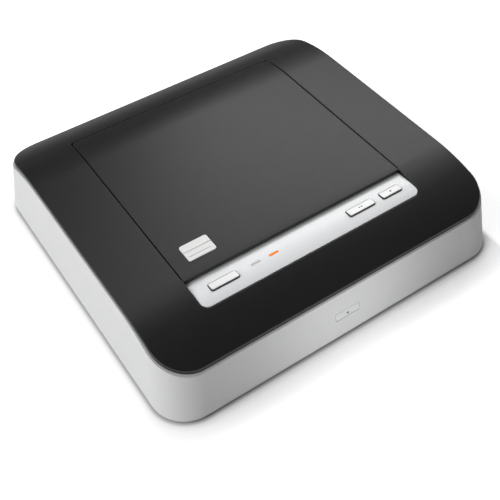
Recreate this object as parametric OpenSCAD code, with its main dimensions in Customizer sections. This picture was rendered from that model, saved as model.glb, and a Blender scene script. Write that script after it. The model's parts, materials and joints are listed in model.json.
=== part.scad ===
// Top-loading DVD player: silver case, black crowned top with a hinged lid, key strip, disc mechanism,
// electronics and sockets.
// Millimetres. Z is up, the front faces -Y, the origin is on the table below the middle of the case.

/* [Case] */
// Width of the black top
top_w = 242; // [236:1:292]
// Depth of the black top
top_d = 228; // [226:1:276]
// Corner radius of the black top
top_r = 22; // [16:1:25]
// Height from the table to the flat of the top
body_h = 52.5; // [51:0.5:63]
// How far the silver case spreads at its foot, each side
flare = 7; // [4:0.5:9]
// Radius of the front corners at the foot
base_r = 23.5; // [18:0.5:30]
// Radius of the back corners at the foot
back_r = 20; // [18:0.5:30]
// Width of the silver ledge below the black lip
shoulder = 1; // [0.5:0.1:2]
// Wall thickness of the silver case
wall_t = 2.5; // [2:0.1:3]
// Gap between the table and the case
foot_gap = 1.5; // [1.5:0.5:3]

/* [Crown] */
// Depth of the curved front and back of the top
crown_run = 56; // [48:1:66]
// Radius of the curved front and back of the top
crown_r = 131.7; // [120:0.1:160]
// Height of the black lip
lip_h = 3; // [2.6:0.1:4]
// Skin thickness of the black top
cover_skin = 2.2; // [1.8:0.1:2.5]

/* [Lid] */
// Half width of the lid
lid_hw = 81.5; // [80:0.5:90]
// Front edge of the lid
lid_front = -65; // [-66:0.5:-64]
// Back edge of the lid
lid_back = 87.8; // [87.8:0.1:88]
// Radius of the lid's back corners
lid_r = 3.5; // [3:0.5:5]
// Skin thickness of the lid
lid_skin = 2; // [1.8:0.1:2.2]
// Gap round the lid
lid_gap = 0.8; // [0.5:0.1:0.9]
// Y of the hinge axis
hinge_y = 84; // [83.9:0.1:84.1]
// Depth of the hinge axis below the flat of the top
hinge_drop = 7.5; // [7.4:0.1:7.6]
// Radius of the hinge pins
hinge_r = 1.2; // [1:0.1:1.3]
// Length, depth and height of the touch plate
pad_size = [19.4, 13.5, 0.7];
// Middle of the touch plate
pad_at = [-61.4, -47.4];

/* [Key strip] */
// Front edge of the strip
strip_front = -87; // [-87.5:0.5:-86.5]
// Radius of the strip's crown
strip_crown = 70; // [60:5:90]
// Height of the keys above the strip at their front
key_rise = 1.6; // [1:0.1:2]
// Travel of a key
key_travel = 0.5; // [0.3:0.1:0.6]
// Left and right edge of the power key
power_x = [-71, -51.5];
// Left and right edge of the play key
play_x = [31, 51];
// Left and right edge of the stop key
stop_x = [57.5, 73];
// Left and right edge of the lamp that shows the set is on
on_x = [-28.5, -21.9];
// Left and right edge of the standby lamp
standby_x = [-41.5, -35.1];

/* [Disc mechanism] */
// Radius of the disc the well takes
disc_r = 60; // [60:1:70]
// Room round the disc
disc_room = 2.5; // [2:0.5:3]
// Depth of the disc below the flat of the top
disc_drop = 16.5; // [16:0.5:17]
// Radius of the hub that centres the disc
hub_r = 7.45; // [7.4:0.01:7.48]
// Pitch of the lead screw
screw_pitch = 4; // [4:1:4]

/* [Back] */
// Radius of an output socket's barrel
rca_r = 4.15; // [4.1:0.05:4.2]
// Radius of the bore for the plug's pin
rca_bore = 1.65; // [1.6:0.05:1.7]
// Distance between neighbouring output sockets
rca_pitch = 14; // [12:1:16]
// Spacing of the mains inlet's two pins
inlet_pitch = 8.6;
// Radius of the mains inlet's pins
inlet_pin_r = 1.2;

/* [Hidden] */

silver = [0.80, 0.81, 0.82];
black = [0.09, 0.09, 0.10];
white = [0.93, 0.93, 0.92];
steel = [0.68, 0.69, 0.71];
green = [0.10, 0.33, 0.18];

// cuts run past a face by over, joined solids reach into each other by sink
over = 1;
sink = 0.1;

// the case
base_w = top_w + 2 * flare;
base_d = top_d + 2 * flare;
crown_flat = top_d / 2 - crown_run;
floor_t = 2;
floor_z = foot_gap + floor_t;
foot_chamfer = 0.8;
rim_h = 1.2;
parting_z = foot_gap + rim_h;
step_gap = 0.2;
foot_spot = [top_w / 2 - 21, base_d / 2 - 41];
foot_r = 8.8;
foot_recess = 1;
foot_room = 0.2;
slice_t = 0.01;
corner_steps = 16;
rear_vents = 9;
rear_vent_x = 52;
rear_vent_w = 2;
rear_vent_pitch = 5;
rear_vent_z = [12, 26];
floor_vents = 8;
floor_vent_x = [56, 86];
floor_vent_l = 30;
floor_vent_y = -50;
floor_vent_w = 2.5;
floor_vent_pitch = 6;
seam_side_z = body_h - lip_h;
seam_front_z = body_h - crown_fall(top_d / 2) - lip_h;
lean_side = (flare - shoulder) / (seam_side_z - foot_gap);
lean_front = (flare - shoulder) / (seam_front_z - foot_gap);
rim_w = base_w - 2 * lean_side * (body_h - foot_gap);
rim_d = base_d - 2 * lean_front * (body_h - foot_gap);
rim_r = top_r + shoulder;
front_lean_deg = atan(lean_front);
skirt_t = 2.4;
tongue_gap = 0.5;
tongue_t = 1.2;
tongue_h = 2.5;

// screws of the case
boss_x = top_w / 2 - 13;
boss_y = top_d / 2 - 20;
boss_spots = [[-1, -1], [1, -1], [1, 1], [-1, 1]];
boss_r = 4.5;
boss_top = foot_gap + 7.5;
cover_boss_r = 4;
case_screw_r = 1.5;
case_screw_l = 16.5;
case_head_z = foot_gap + 4;
case_head_r = 2.9;
case_head_h = 2.2;
head_room = 0.3;
cross_l = 3.6;
cross_w = 0.8;
cross_deep = 1;

// the hinge
hinge_z = body_h - hinge_drop;
sweep_r = 5.9;
sweep_room = 0.15;
corner_cut = 10;
hinge_spots = [-70, 70];
ear_w = 5;
ear_r = 3;
knuckle_r = 2.7;
knuckle_w = 4;
knuckle_gap = 0.4;
pin_reach = ear_w / 2 + knuckle_gap + knuckle_w;
ear_back = 1;
ear_front = 8.5;
ear_neck = 5;
relief_x = 4.5;
relief_y = [-5, 2.8];
relief_top = 1.4;
spring_x = -60;
spring_r = 2;
spring_wire = 0.35;
spring_pitch = 1.4;
spring_turns = 6;
spring_foot = 5.95;
spring_arm = 6.2;

// the deck below the lid
deck_z = body_h - 7.5;
deck_t = 2;
deck_hw = lid_hw + 9;
lid_lap = 2;
deck_front = lid_front + lid_lap;
rim_room = 0.7;
rim_front_gap = 0.4;
rim_t = 1.4;
front_rim_t = 1.2;
front_rim_h = 2.4;
disc_y = 8;
disc_z = body_h - disc_drop;
well_z = disc_z - 2.5;
well_r = disc_r + disc_room;
well_t = 1.6;
scallop_r = 17;
scallop_x = well_r - 6.5;
trough_y = [77.4, 91];
trough_z = hinge_z - 6;
trough_t = 1.6;
slot_w = 34;
slot_end = disc_y - well_r + 0.3;
deck_screw_spots = [[-1, -50], [-1, 20], [-1, 70], [1, -50], [1, 20], [1, 70]];
deck_screw_x = lid_hw + 6.3;
small_screw_r = 1.1;
small_head_r = 2.2;
small_head_h = 1.4;
screw_fit = 0.2;
small_grip = 4;
key_grip = 6;
deck_boss_r = 3;
deck_sink = 0.5;

// the tray below the key strip
tray_z = body_h - 6.3;
tray_t = 1.5;
tray_front = strip_front - 2;
tray_back = deck_front - 0.2;
tray_wall = 1.6;
cover_draft = 0.6;
strip_gap = 0.5;
strip_hw = lid_hw - 0.1;
strip_back = deck_front - 0.3;
strip_t = 1.8;
strip_mid = -76.5;
strip_top = body_h - 2.3;
strip_r = 5;
key_y = [-79, -73];
key_r = 1.2;
key_gap = 0.3;
flange_z = tray_z + 0.7;
flange_t = 0.8;
stem_y = [-77.5, -74.5];
stem_hw = 5;
stem_room = 0.1;
chute_hw = 6.5;
chute_room = 0.5;
wedge_back = 0.1;
wedge_crest = 0.8;
wedge_fall = 0.6;
flange_rim = 0.9;
lamp_y = [-76.3, -74.8];
lamp_room = 0.2;
lamp_chip_w = 3.2;
lamp_chip_d = 2.4;
lamp_chip_h = 1.1;
guide_room = 0.1;
board_z = tray_z - 9.8;
board_t = 1.6;
board_hw = 80;
board_y = [-86.5, -66.5];
switch_h = 3;
switch_w = 6;
plunger_h = 0.7;
plunger_r = 1.7;
key_post_r = 2.6;
key_post_spots = [[-77, -84], [77, -84], [-77, -69], [77, -69], [0, -84]];
strip_post_r = 1.5;
strip_post_top = 1;
strip_back_posts = [-46.5, -10, 10, 77];
strip_front_posts = [-76, -46.5, -10, 10, 54.2, 76];
strip_post_y = [-70.5, -83];
plunger_z = board_z + board_t + switch_h + plunger_h;
key_mids = [(power_x[0] + power_x[1]) / 2, (play_x[0] + play_x[1]) / 2, (stop_x[0] + stop_x[1]) / 2];

// the lining of the lid
panel_z = deck_z + 0.6;
panel_t = 1.4;
panel_top = panel_z + panel_t;
panel_y = [deck_front + 2.5, 76.5];
panel_hw = lid_hw - 2.5;
rib_t = 1.6;
cage_r = 18;
cage_t = 1.5;
cage_z = disc_z + 6;
cage_floor = 1.3;
cage_hole = 9.4;
lid_post_r = 2.8;
lid_grip = 3;
pad_r = 1.5;
pad_deep = 0.6;
groove_w = 0.5;
groove_y = [0.35, -3.95];
groove_deep = [0.4, 0.3];
groove_end = 2;
lid_screw_spots = [[-44, disc_y - 36], [44, disc_y - 36], [-44, disc_y + 36], [44, disc_y + 36]];

// the latch
latch_x = -61.4;
hook_y = [-56.5, -54.5];
hook_w = 8;
barb_l = 2;
hook_low = deck_z - 9;
catch_z = hook_low + 2.8;
catch_w = 7;
catch_y = [hook_y[1] + 0.3, -45];
catch_t = 2.5;
catch_nose = [2, 1];
barb_h = 2.5;
barb_tip = [0.6, 1.4];
hook_foot = [2, 3, 1.4];
hook_room = 0.6;
hook_way = [0.8, 0.9];
rail_x = [2.5, 6];
rail_y = -50.5;
rail_gap = 0.3;
latch_coil_r = 1.4;
latch_wire = 0.25;
latch_coil_pitch = 1.2;
latch_coil_turns = 4;
latch_in_x = [latch_x - 5, latch_x + 5];
latch_in_y = [-58.5, -40.2];
latch_low = hook_low - 1.5;
latch_t = 1.4;

// the mechanism
plate_z = disc_z - 17;
plate_t = 1.5;
plate_top = plate_z + plate_t;
plate_hw = 40;
plate_y = [-74, 30];
rod_z = disc_z - 10;
rod_x = 24;
rod_r = 1.5;
rod_y = [-72, 0];
rod_block = 3;
run_gap = 0.05;
screw_x = 33;
thread_r = 1.5;
thread_e = 0.4;
thread_y = [-66, -8];
journal_r = 0.9;
journal_in = 3;
tooth_y = thread_y[0] + 12 * screw_pitch;
motor_y = [-84, -68];
motor_r = 5;
sled_y = [-28, -8];
sled_z = [rod_z - 2.5, rod_z + 3.5];
lens_y = disc_y - 24;
mount_spots = [[-34, -66], [34, -60], [-34, 24], [34, 24]];
mount_post_r = 3;
mount_bore = 10;
mount_hole_r = 3.8;
isolator_r = 5.5;
isolator_bore = 1.4;
isolator_foot = 2;
isolator_cap = 1.5;
washer_r = 4;
washer_t = 1.2;
plate_ear_y = -86;
plate_ear_x = 26;
plate_slot = [36, 48];
plate_slot_y = -34;
plate_slot_r = 3;
screw_block_w = 5;
screw_block_y = [-4.5, -1.5];
screw_block_top = 2.5;
cradle_w = 6;
cradle_top = 2;
stator_base = [15, 1.5];
tube_r = 3;
tube_top = 3.4;
core_r = 8;
core_z = [-2.6, 1.8];
pole_pitch = 40;
pole_x = [6, 10.6];
pole_w = 2.4;
pole_z = [-2.3, 1.5];
rotor_r = 12.5;
rotor_t = 1.2;
rotor_low = 1.5;
rotor_top = disc_z - 5;
shaft_r = 1;
shaft_low = 1;
shaft_top = 1;
disc_pad = 0.3;
seat_z = disc_z - disc_pad;
platter_r = 15;
platter_low = disc_z - 2;
neck_r = 4;
grip_r = [10, 13.5];
grip_deep = 0.6;
hub_edge = 1.7;
hub_top = 2.7;
hub_rim = [6.2, 5.4];
hub_bed = 1.9;
hub_plate_r = 5.2;
hub_plate_t = 0.7;
sled_bush_w = 8;
sled_bush_h = 7;
sled_bridge = 3;
well_w = 18;
well_d = 12;
lens_z = rod_z + 0.5;
carrier = [16, 10, 4.5];
lens_tube_r = 3.6;
lens_tube_top = disc_z - 2.3;
lens_seat_r = 2.3;
lens_r = 2.25;
lens_low = disc_z - 3;
lens_ball_r = 3.7;
lens_ball_z = disc_z - 5.4;
nut_x = [3, 4.5, 2.1];
nut_y = [4, 2.5, 0.35];
nut_z = [-1.5, 1.6, 3.4];
tooth_x = [2.2, 1.35];
tooth_h = 0.5;
thread_facets = 12;
thread_steps = 12;

// the disc clamp
puck_r = [8.4, 8, 11, 15];
puck_z = [disc_z + 1.5, disc_z + 3, disc_z + 3.6, disc_z + 4.4, disc_z + 7.9, disc_z + 9.1];
magnet_z = disc_z + 4.6;
magnet_t = 3;
magnet_r = 6;
magnet_room = 0.2;

// the boards
pcb_z = floor_z + 4;
pcb_t = 1.6;
pcb_top = pcb_z + pcb_t;
rear_y = top_d / 2 - 1.5;
panel_thick = 1.2;
pcb_back = rear_y - 8.5;
main_x = [-56, 98];
main_y = [36, pcb_back];
psu_x = [-101, -62];
psu_y = [26, pcb_back];
board_post_r = 3;
post_inset = 5;
main_post_back = 22;
psu_post_back = 26;
chips = [[[10, 34], [50, 74], 1.6], [[42, 64], [52, 62], 1.1], [[42, 64], [66, 76], 1.1],
    [[-14, 0], [54, 68], 1.4], [[-44, -30], [50, 60], 1.8]];
plugs = [[[-40, -14], [39, 44], 5], [[-4, 26], [39, 44], 5], [[70, 76], [50, 72], 6],
    [[-68, -63], [60, 76], 7]];
cans = [[84, 46, 3.1, 8], [84, 58, 3.1, 8], [-46, 76, 3.1, 8], [-34, 76, 3.1, 8], [50, 46, 3.1, 8],
    [-92, 74, 8, 19], [-70, 42, 4, 12], [-70, 52, 4, 12]];
coil_at = [-87, 46];
core_base = [20, 20, 4];
winding = [16, 16, 15];
core_leg = [22, 6, 17];
jack_z = pcb_top + 7;
window_x = [-97, 34];
window_z = [jack_z - 8.5, jack_z + 8.5];
jack_x = [-30, -30 + rca_pitch, -30 + 2 * rca_pitch, 14];
panel_rim = 1.6;
panel_x = [window_x[0] - panel_rim, window_x[1] + panel_rim];
panel_edge_z = [window_z[0] - panel_rim, window_z[1] + panel_rim];
collar_sink = 1;
inlet_x = -82;
inlet_w = 20;
inlet_h = 12;
inlet_r = 2;
inlet_room = 0.2;
inlet_proud = 2;
inlet_flange = 1;
inlet_back = 15;
inlet_deep = 8;
inlet_lobe_r = 4.1;
inlet_waist = 6.6;
inlet_tail_r = inlet_pin_r - 0.2;
inlet_pin_end = 0.5;
jack_body = [11, 14, 6];
jack_hole_r = 4.1;
barrel_l = 8;
barrel_in_r = 3.6;
barrel_neck_r = 4;
barrel_flange = [5.3, 0.8];
insert_l = 7.5;

// receiver window
ir_z = foot_gap + 17.3;
ir_size = [18.8, 6];
ir_r = 1.4;
ir_gap = 0.2;
ir_proud = 0.05;
ir_flange = [1.5, 1];
ir_flange_t = 1;
ir_board_w = 18;
ir_board_t = 1.2;
ir_deep = 10.1;
ir_board_y = front_wall_y(ir_z) + ir_deep;
ir_board_z = [12, 30];
ir_chip = [6, 3.5, 7];
ir_dome_r = 2.2;
ir_post_x = 7;
ir_post_w = 3;
ir_post_y = [ir_board_y - 0.5, ir_board_y + 3.5];

// fall of the crown at a distance y from the middle
function crown_fall(y) = crown_r - sqrt(crown_r * crown_r - pow(max(0, abs(y) - crown_flat), 2));

// outer wall of the case at the front, at height z
function front_wall_y(z) = -(base_d / 2 - lean_front * (z - foot_gap));

// points of a quarter circle about [x, y] that starts at the angle a
function corner(x, y, r, a) =
    [for (k = [0 : corner_steps]) let (t = a + 90 * k / corner_steps) [x + r * cos(t), y + r * sin(t)]];

// a box from its low and high limits
module span(x, y, z) {
    translate([x[0], y[0], z[0]])
        cube([x[1] - x[0], y[1] - y[0], z[1] - z[0]]);
}

// an upright cylinder
module post(x, y, z0, z1, r) {
    translate([x, y, z0])
        cylinder(r = r, h = z1 - z0);
}

// a bar lying along X at a given y and z
module bar_x(x, y, z, r) {
    translate([x[0], y, z])
        rotate([0, 90, 0])
            cylinder(r = r, h = x[1] - x[0]);
}

// a bar lying along Y at a given x and z
module bar_y(x, y, z, r) {
    translate([x, y[0], z])
        rotate([-90, 0, 0])
            cylinder(r = r, h = y[1] - y[0]);
}

// flat rectangle with round corners
module rounded(w, d, r) {
    square([w - 2 * r, d], center = true);
    square([w, d - 2 * r], center = true);
    for (sx = [-1, 1])
        for (sy = [-1, 1])
            translate([sx * (w / 2 - r), sy * (d / 2 - r)])
                circle(r);
}

// a box with round upright edges
module rounded_block(x, y, z, r) {
    translate([(x[0] + x[1]) / 2, (y[0] + y[1]) / 2, z[0]])
        linear_extrude(z[1] - z[0])
            rounded(x[1] - x[0], y[1] - y[0], r);
}

// everything below the crowned top, lowered by drop
module under_crown(drop) {
    rotate([90, 0, 90])
        linear_extrude(top_w + 60, center = true)
            crown_profile(drop);
}

module crown_profile(drop) {
    translate([-crown_flat, 0])
        square([2 * crown_flat, body_h - drop]);
    for (s = [-1, 1])
        intersection() {
            translate([s * crown_flat, body_h - crown_r])
                circle(crown_r - drop);
            translate([s > 0 ? crown_flat : -crown_flat - top_d / 2, 0])
                square([top_d / 2, body_h]);
        }
}

// flat outline with its own radius at the front corners and at the back corners
module case_outline(w, d, r_front, r_back) {
    back = [w / 2 - r_back, d / 2 - r_back];
    front = [w / 2 - r_front, d / 2 - r_front];
    polygon(concat(corner(back[0], back[1], r_back, 0), corner(-back[0], back[1], r_back, 90),
        corner(-front[0], -front[1], r_front, 180), corner(front[0], -front[1], r_front, 270)));
}

// a slice of the case's outline for the hull
module case_slice(z, w, d, r_front, r_back) {
    translate([0, 0, z])
        linear_extrude(slice_t)
            case_outline(w, d, r_front, r_back);
}

// the leaning case as a solid, taken in by inset
module case_solid(inset) {
    in = 2 * inset;
    low = in + 2 * foot_chamfer;
    hull() {
        case_slice(foot_gap, base_w - low, base_d - low, base_r - inset, back_r - inset);
        case_slice(foot_gap + foot_chamfer, base_w - in, base_d - in, base_r - inset, back_r - inset);
        case_slice(body_h, rim_w - in, rim_d - in, rim_r - inset, rim_r - inset);
    }
}

// upright block with the black top's outline taken in by inset
module top_block(inset) {
    linear_extrude(body_h)
        rounded(top_w - 2 * inset, top_d - 2 * inset, top_r - inset);
}

// outline of the lid grown by grow
module lid_outline(grow, r) {
    hw = lid_hw + grow;
    translate([-hw, lid_front - grow])
        square([2 * hw, lid_back + 2 * grow - r - lid_front]);
    translate([r - hw, lid_front - grow])
        square([2 * (hw - r), lid_back - lid_front + 2 * grow]);
    for (s = [-1, 1])
        translate([s * (hw - r), lid_back + grow - r])
            circle(r);
}

module lid_block(grow, r) {
    linear_extrude(body_h + over)
        lid_outline(grow, r);
}

// outline of the disc well with its finger scallops, grown by grow
module well_outline(grow) {
    circle(well_r + grow);
    for (s = [-1, 1])
        translate([s * scallop_x, 0])
            circle(scallop_r + grow);
}

// silver ring of the case: leaning walls with the ledge below the lip, and the collar round the rear panel
module side_case() {
    half = ir_size / 2;
    color(silver)
    difference() {
        union() {
            difference() {
                intersection() {
                    case_solid(0);
                    under_crown(lip_h);
                    span([-base_w, base_w], [-base_d, base_d], [parting_z, body_h]);
                }
                case_solid(wall_t);
            }
            rear_collar();
        }
        span(window_x, [rear_y - over, base_d / 2 + over], window_z);
        translate([0, front_wall_y(ir_z), ir_z])
            rotate([-front_lean_deg, 0, 0])
                rounded_block_y([-half[0], half[0]], [-2 * wall_t, 2 * wall_t], [-half[1], half[1]], ir_r);
        for (i = [0 : rear_vents - 1])
            translate([rear_vent_x + rear_vent_pitch * i, 0, 0])
                span([0, rear_vent_w], [rear_y - 2 * wall_t, base_d / 2 + over], rear_vent_z);
    }
}

// bottom plate: a rim below the ring, a step inside it, bosses, posts and vents
module bottom_plate() {
    color(silver)
    difference() {
        union() {
            intersection() {
                case_solid(0);
                span([-base_w, base_w], [-base_d, base_d], [foot_gap, parting_z]);
            }
            intersection() {
                case_solid(wall_t + step_gap);
                span([-base_w, base_w], [-base_d, base_d], [foot_gap + foot_chamfer, floor_z]);
            }
            for (s = boss_spots)
                post(s[0] * boss_x, s[1] * boss_y, floor_z - over, boss_top, boss_r);
            for (s = mount_spots)
                post(s[0], s[1], floor_z - over, plate_z - isolator_foot, mount_post_r);
            board_posts();
            for (s = [-1, 1])
                translate([s * ir_post_x, 0, 0])
                    span([-ir_post_w / 2, ir_post_w / 2], ir_post_y, [floor_z - over, ir_board_z[0]]);
        }
        for (s = boss_spots) {
            post(s[0] * boss_x, s[1] * boss_y, 0, case_head_z, case_head_r + head_room);
            post(s[0] * boss_x, s[1] * boss_y, 0, boss_top + over, case_screw_r + screw_fit);
            post(s[0] * foot_spot[0], s[1] * foot_spot[1], 0, foot_gap + foot_recess, foot_r + foot_room);
        }
        for (s = mount_spots)
            post(s[0], s[1], plate_z - mount_bore, plate_z, small_screw_r);
        vent_slots();
    }
}

module rear_collar() {
    intersection() {
        span(panel_x, [rear_y, base_d / 2], panel_edge_z);
        case_solid(collar_sink);
    }
}

module board_posts() {
    for (x = [main_x[0] + post_inset, main_x[1] - post_inset])
        for (y = [main_y[0] + post_inset, main_y[1] - main_post_back])
            post(x, y, floor_z - over, pcb_z, board_post_r);
    for (x = [psu_x[0] + post_inset, psu_x[1] - post_inset])
        for (y = [psu_y[0] + post_inset, psu_y[1] - psu_post_back])
            post(x, y, floor_z - over, pcb_z, board_post_r);
}

module vent_slots() {
    for (x = [floor_vent_x[0], -floor_vent_x[1]])
        for (i = [0 : floor_vents - 1])
            translate([x, floor_vent_y + floor_vent_pitch * i, 0])
                span([0, floor_vent_l], [0, floor_vent_w], [0, floor_z + over]);
}

// four rubber feet in their recesses
module feet() {
    color([0.06, 0.06, 0.06])
    for (s = boss_spots)
        post(s[0] * foot_spot[0], s[1] * foot_spot[1], 0, foot_gap + foot_recess, foot_r);
}

module case_screws() {
    color(steel)
    for (s = boss_spots)
        translate([s[0] * boss_x, s[1] * boss_y, case_head_z])
            difference() {
                union() {
                    post(0, 0, -case_head_h, 0, case_head_r);
                    post(0, 0, -sink, case_screw_l, case_screw_r);
                }
                for (a = [0, 90])
                    rotate([0, 0, a])
                        translate([0, 0, -case_head_h])
                            cube([cross_l, cross_w, 2 * cross_deep], center = true);
            }
}

// black top: crowned skin, lip, tongue, lid opening and the tray below the key strip
module top_cover() {
    color(black)
    difference() {
        union() {
            difference() {
                intersection() {
                    top_block(0);
                    under_crown(0);
                }
                intersection() {
                    top_block(skirt_t);
                    under_crown(cover_skin);
                }
                under_crown(lip_h);
            }
            cover_tongue();
            cover_tray();
            cover_bosses();
        }
        translate([0, 0, tray_z])
            linear_extrude(body_h)
                strip_outline(strip_gap);
        lid_opening();
        for (x = key_mids)
            span([x - chute_hw, x + chute_hw], [stem_y[0] - chute_room, stem_y[1] + chute_room],
                [tray_z - 2 * tray_t, tray_z + over]);
        for (x = [on_x, standby_x])
            span([x[0] - lamp_room, x[1] + lamp_room], [lamp_y[0] - lamp_room, lamp_y[1] + lamp_room],
                [tray_z - 2 * tray_t, tray_z + over]);
        for (s = key_post_spots)
            post(s[0], s[1], board_z, tray_z - tray_t, small_screw_r);
        for (s = deck_screw_spots)
            post(s[0] * deck_screw_x, s[1], deck_z - over, deck_z + small_grip, small_screw_r);
        for (s = boss_spots)
            post(s[0] * boss_x, s[1] * boss_y, 0, case_head_z + case_screw_l + over, case_screw_r);
    }
}

// opening below the lid: straight sides, round back corners and the room the lid's back edge swings through
module lid_opening() {
    hw = lid_hw + lid_gap;
    translate([0, 0, deck_z + deck_sink])
        linear_extrude(body_h)
            translate([-hw, tray_back])
                square([2 * hw, lid_back - tray_back - corner_cut / 2]);
    translate([0, 0, trough_z - trough_t])
        linear_extrude(body_h)
            intersection() {
                lid_outline(lid_gap, lid_r + lid_gap);
                translate([-base_w, lid_back - corner_cut])
                    square([2 * base_w, 2 * corner_cut]);
            }
    bar_x([-lid_hw - sweep_room, lid_hw + sweep_room], hinge_y, hinge_z, sweep_r);
}

// the strip's recess: front corners round, running back below the lid
module strip_outline(grow) {
    hw = strip_hw + grow;
    y0 = strip_front - grow;
    r = strip_r + grow;
    translate([-hw, y0 + r])
        square([2 * hw, tray_back - y0 - r]);
    translate([r - hw, y0])
        square([2 * (hw - r), r + 1]);
    for (s = [-1, 1])
        translate([s * (hw - r), y0 + r])
            circle(r);
}

module cover_tongue() {
    inset = skirt_t + tongue_gap;
    intersection() {
        difference() {
            top_block(inset);
            top_block(inset + tongue_t);
        }
        difference() {
            under_crown(cover_skin - 3 * sink);
            under_crown(lip_h + tongue_h);
        }
    }
}

module cover_tray() {
    hw = lid_hw + lid_gap + tray_wall;
    in = hw - tray_wall;
    intersection() {
        union() {
            span([-hw, hw], [tray_front, tray_back], [tray_z - tray_t, tray_z]);
            difference() {
                span([-hw, hw], [tray_front, tray_back], [tray_z - tray_t, body_h]);
                span([-in, in], [tray_front + tray_wall, tray_back + over],
                    [tray_z - 2 * tray_t, body_h + over]);
            }
            for (s = key_post_spots)
                post(s[0], s[1], board_z + board_t, tray_z - sink, key_post_r);
        }
        under_crown(cover_draft);
    }
}

module cover_bosses() {
    intersection() {
        union() {
            for (s = deck_screw_spots)
                post(s[0] * deck_screw_x, s[1], deck_z, body_h, deck_boss_r);
            for (s = boss_spots)
                post(s[0] * boss_x, s[1] * boss_y, boss_top, body_h, cover_boss_r);
        }
        under_crown(cover_draft);
    }
}

// silver-white key strip, crowned about X, running back below the lid's front edge
module control_strip() {
    color([0.88, 0.88, 0.87])
    difference() {
        union() {
            intersection() {
                translate([0, 0, tray_z])
                    linear_extrude(body_h)
                        intersection() {
                            strip_outline(0);
                            translate([-strip_hw, strip_front])
                                square([2 * strip_hw, strip_back - strip_front]);
                        }
                rotate([90, 0, 90])
                    linear_extrude(2 * lid_hw, center = true)
                        translate([strip_mid, strip_top - strip_crown])
                            difference() {
                                circle(strip_crown);
                                circle(strip_crown - strip_t);
                            }
            }
            for (x = strip_back_posts)
                post(x, strip_post_y[0], tray_z, strip_top - strip_post_top, strip_post_r);
            for (x = strip_front_posts)
                post(x, strip_post_y[1], tray_z, strip_top - strip_post_top, strip_post_r);
        }
        for (x = [power_x, play_x, stop_x])
            rounded_block([x[0] - key_gap, x[1] + key_gap], [key_y[0] - key_gap, key_y[1] + key_gap],
                [tray_z - over, body_h], key_r + key_gap);
        for (x = [on_x, standby_x])
            span(x, lamp_y, [tray_z - over, body_h]);
    }
}

// a key: wedge-shaped cap, flange below the strip and a stem to its switch
module key_cap(x) {
    mid = (x[0] + x[1]) / 2;
    rim = flange_rim;
    crest = strip_top + key_rise;
    intersection() {
        rounded_block(x, key_y, [flange_z, body_h], key_r);
        translate([mid, 0, 0])
            rotate([90, 0, 90])
                linear_extrude(x[1] - x[0] + over, center = true)
                    polygon([[key_y[0] - over, flange_z], [key_y[1] + over, flange_z],
                        [key_y[1] + over, strip_top + wedge_back], [key_y[0] + wedge_crest, crest],
                        [key_y[0] - over, crest - wedge_fall]]);
    }
    rounded_block([x[0] - rim, x[1] + rim], [key_y[0] - rim, key_y[1] + rim],
        [flange_z, flange_z + flange_t], key_r);
    span([mid - stem_hw, mid + stem_hw], stem_y, [plunger_z + key_travel + stem_room, flange_z + sink]);
}

module power_button() {
    color(white)
    key_cap(power_x);
}

module play_button() {
    color(white)
    key_cap(play_x);
}

module stop_button() {
    color(white)
    key_cap(stop_x);
}

// light guide from its lamp chip up to the strip's surface
module light_guide(x) {
    intersection() {
        span(x, lamp_y, [board_z + board_t + lamp_chip_h + guide_room, body_h]);
        bar_x([x[0] - over, x[1] + over], strip_mid, strip_top - strip_crown, strip_crown + guide_room);
    }
}

module on_lens() {
    color([1, 0.62, 0.15, 0.9])
    light_guide(on_x);
}

module standby_lens() {
    color([0.75, 0.76, 0.76, 0.8])
    light_guide(standby_x);
}

module key_board() {
    color(green)
    difference() {
        span([-board_hw, board_hw], board_y, [board_z, board_z + board_t]);
        for (s = key_post_spots)
            post(s[0], s[1], board_z - over, board_z + board_t + over, small_screw_r + screw_fit / 2);
    }
}

module tact_switches() {
    mid = (key_y[0] + key_y[1]) / 2;
    half = switch_w / 2;
    color([0.15, 0.15, 0.16])
    for (x = key_mids) {
        span([x - half, x + half], [mid - half, mid + half],
            [board_z + board_t, board_z + board_t + switch_h]);
        post(x, mid, board_z + board_t + switch_h - sink, plunger_z, plunger_r);
    }
}

module led_chips() {
    mid = (lamp_y[0] + lamp_y[1]) / 2;
    color([0.95, 0.85, 0.5])
    for (x = [on_x, standby_x])
        translate([(x[0] + x[1]) / 2, mid, board_z + board_t])
            span([-lamp_chip_w / 2, lamp_chip_w / 2], [-lamp_chip_d / 2, lamp_chip_d / 2], [0, lamp_chip_h]);
}

// window of the remote receiver, flush with the leaning front wall, with a flange behind it
module ir_window() {
    half = ir_size / 2;
    seat = wall_t + ir_proud;
    color([0.80, 0.81, 0.82, 0.9])
    translate([0, front_wall_y(ir_z), ir_z])
        rotate([-front_lean_deg, 0, 0]) {
            rounded_block_y([ir_gap - half[0], half[0] - ir_gap], [0, seat + sink],
                [ir_gap - half[1], half[1] - ir_gap], ir_r - ir_gap);
            span([-half[0] - ir_flange[0], half[0] + ir_flange[0]], [seat, seat + ir_flange_t],
                [-half[1] - ir_flange[1], half[1] + ir_flange[1]]);
        }
}

// receiver on its small upright board
module ir_sensor() {
    color([0.10, 0.10, 0.11])
    union() {
        span([-ir_board_w / 2, ir_board_w / 2], [ir_board_y, ir_board_y + ir_board_t], ir_board_z);
        span([-ir_chip[0] / 2, ir_chip[0] / 2], [ir_board_y - ir_chip[1], ir_board_y + sink],
            [ir_z - ir_chip[2] / 2, ir_z + ir_chip[2] / 2]);
        translate([0, ir_board_y - ir_chip[1] + sink, ir_z])
            sphere(r = ir_dome_r);
    }
}

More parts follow.
